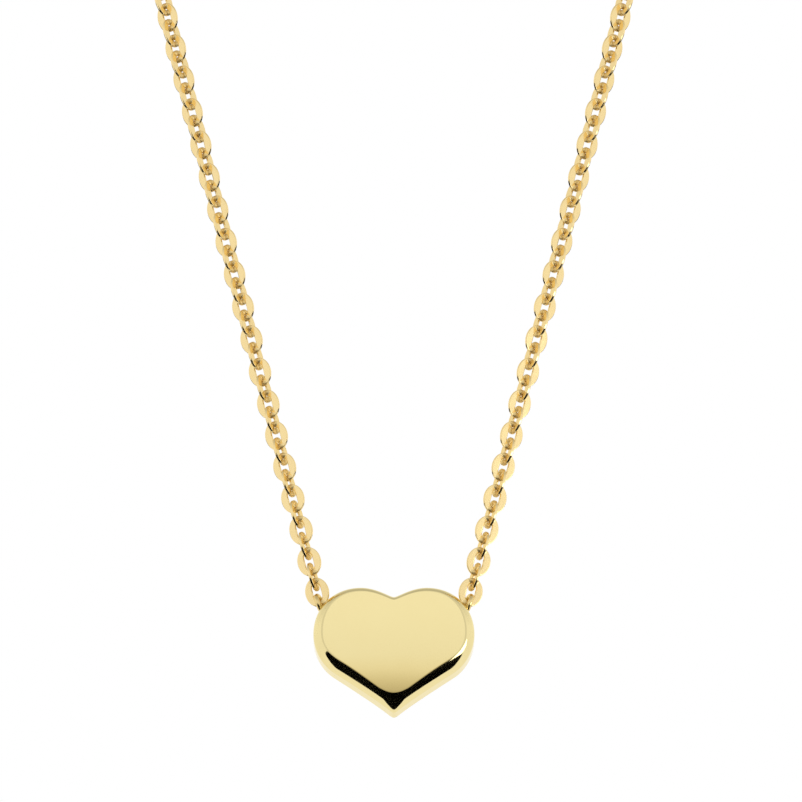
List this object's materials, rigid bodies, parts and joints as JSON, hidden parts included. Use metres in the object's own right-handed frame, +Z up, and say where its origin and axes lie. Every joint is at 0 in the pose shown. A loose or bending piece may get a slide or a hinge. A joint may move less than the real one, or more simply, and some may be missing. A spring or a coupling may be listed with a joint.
{
  "type": "pendant necklace",
  "caption": "Puffed heart pendant held at both shoulders by a flat oval-link chain, closed at the back by a spring ring clasp and draped over a round neck form.",
  "frame": {"origin": "centre of the round neck form that the chain hangs over, in the plane of the chain", "axes": "+Z up, +X to the right as seen from the front, and the heart's face looks towards -Y"},
  "size_m": [0.0882, 0.0034, 0.2105],
  "materials": {
    "pendant_gold": "polished yellow gold",
    "chain_gold": "polished yellow gold",
    "wire_gold": "polished yellow gold wire",
    "clasp_gold": "polished yellow gold",
    "spring_steel": "bright spring wire"
  },
  "bodies": {
    "neck_chain": {"left_chain_neck": "chain_gold", "right_chain_neck": "chain_gold", "clasp_jump_ring": "clasp_gold", "end_ring": "clasp_gold"},
    "clasp": {"clasp_eye": "clasp_gold", "clasp_tube": "clasp_gold", "clasp_spring": "spring_steel", "clasp_spring_seat": "clasp_gold"},
    "clasp_bolt": {"clasp_bolt": "clasp_gold", "clasp_trigger": "clasp_gold"},
    "heart": {"heart_front_shell": "pendant_gold", "heart_back_plate": "pendant_gold", "heart_left_eye": "wire_gold", "heart_right_eye": "wire_gold"},
    "left_end_link": {"left_end_link": "chain_gold"},
    "left_chain_pendant": {"left_chain_pendant": "chain_gold"},
    "left_chain_low": {"left_chain_low": "chain_gold"},
    "left_chain_middle": {"left_chain_middle": "chain_gold"},
    "left_chain_high": {"left_chain_high": "chain_gold"},
    "right_end_link": {"right_end_link": "chain_gold"},
    "right_chain_pendant": {"right_chain_pendant": "chain_gold"},
    "right_chain_low": {"right_chain_low": "chain_gold"},
    "right_chain_middle": {"right_chain_middle": "chain_gold"},
    "right_chain_high": {"right_chain_high": "chain_gold"}
  },
  "joints": [
    {"name": "left_drop_swing", "type": "hinge", "parent": "neck_chain", "child": "left_chain_high", "pos_m": [-0.04182, 0, -0.01147], "axis": [1, 0, 0], "range_deg": [-35, 35]},
    {"name": "right_drop_swing", "type": "hinge", "parent": "neck_chain", "child": "right_chain_high", "pos_m": [0.04182, 0, -0.01147], "axis": [1, 0, 0], "range_deg": [-35, 35]},
    {"name": "left_drop_bend_high", "type": "hinge", "parent": "left_chain_high", "child": "left_chain_middle", "pos_m": [-0.034, 0, -0.04199], "axis": [1, 0, 0], "range_deg": [-30, 30]},
    {"name": "right_drop_bend_high", "type": "hinge", "parent": "right_chain_high", "child": "right_chain_middle", "pos_m": [0.034, 0, -0.04199], "axis": [1, 0, 0], "range_deg": [-30, 30]},
    {"name": "left_drop_bend_middle", "type": "hinge", "parent": "left_chain_middle", "child": "left_chain_low", "pos_m": [-0.02567, 0, -0.07454], "axis": [1, 0, 0], "range_deg": [-30, 30]},
    {"name": "right_drop_bend_middle", "type": "hinge", "parent": "right_chain_middle", "child": "right_chain_low", "pos_m": [0.02567, 0, -0.07454], "axis": [1, 0, 0], "range_deg": [-30, 30]},
    {"name": "left_drop_bend_low", "type": "hinge", "parent": "left_chain_low", "child": "left_chain_pendant", "pos_m": [-0.01734, 0, -0.10709], "axis": [1, 0, 0], "range_deg": [-30, 30]},
    {"name": "right_drop_bend_low", "type": "hinge", "parent": "right_chain_low", "child": "right_chain_pendant", "pos_m": [0.01734, 0, -0.10709], "axis": [1, 0, 0], "range_deg": [-30, 30]},
    {"name": "left_end_link_tilt", "type": "hinge", "parent": "left_chain_pendant", "child": "left_end_link", "pos_m": [-0.00494, 0, -0.15549], "axis": [1, 0, 0], "range_deg": [-25, 25]},
    {"name": "right_end_link_tilt", "type": "hinge", "parent": "right_chain_pendant", "child": "right_end_link", "pos_m": [0.00494, 0, -0.15549], "axis": [1, 0, 0], "range_deg": [-25, 25]},
    {"name": "heart_tilt", "type": "hinge", "parent": "left_end_link", "child": "heart", "pos_m": [-0.00458, 0, -0.15693], "axis": [1, 0, 0], "range_deg": [-9, 30]},
    {"name": "clasp_flip", "type": "hinge", "parent": "neck_chain", "child": "clasp", "pos_m": [0.00109, 0, 0.04304], "axis": [1, 0, 0], "range_deg": [-30, 30]},
    {"name": "trigger_slide", "type": "hinge", "parent": "clasp", "child": "clasp_bolt", "pos_m": [0.00109, 0, 0.04304], "axis": [0, -1, 0], "range_deg": [0, 58], "stiffness_Nm_per_rad": 0.001, "springref_deg": -28.65, "deforming": ["clasp_spring"]}
  ],
  "couplings": [
    {"joint": "right_drop_swing", "follows": "left_drop_swing", "ratio": 1},
    {"joint": "right_drop_bend_high", "follows": "left_drop_bend_high", "ratio": 1},
    {"joint": "right_drop_bend_middle", "follows": "left_drop_bend_middle", "ratio": 1},
    {"joint": "right_drop_bend_low", "follows": "left_drop_bend_low", "ratio": 1},
    {"joint": "right_end_link_tilt", "follows": "left_end_link_tilt", "ratio": 1}
  ]
}
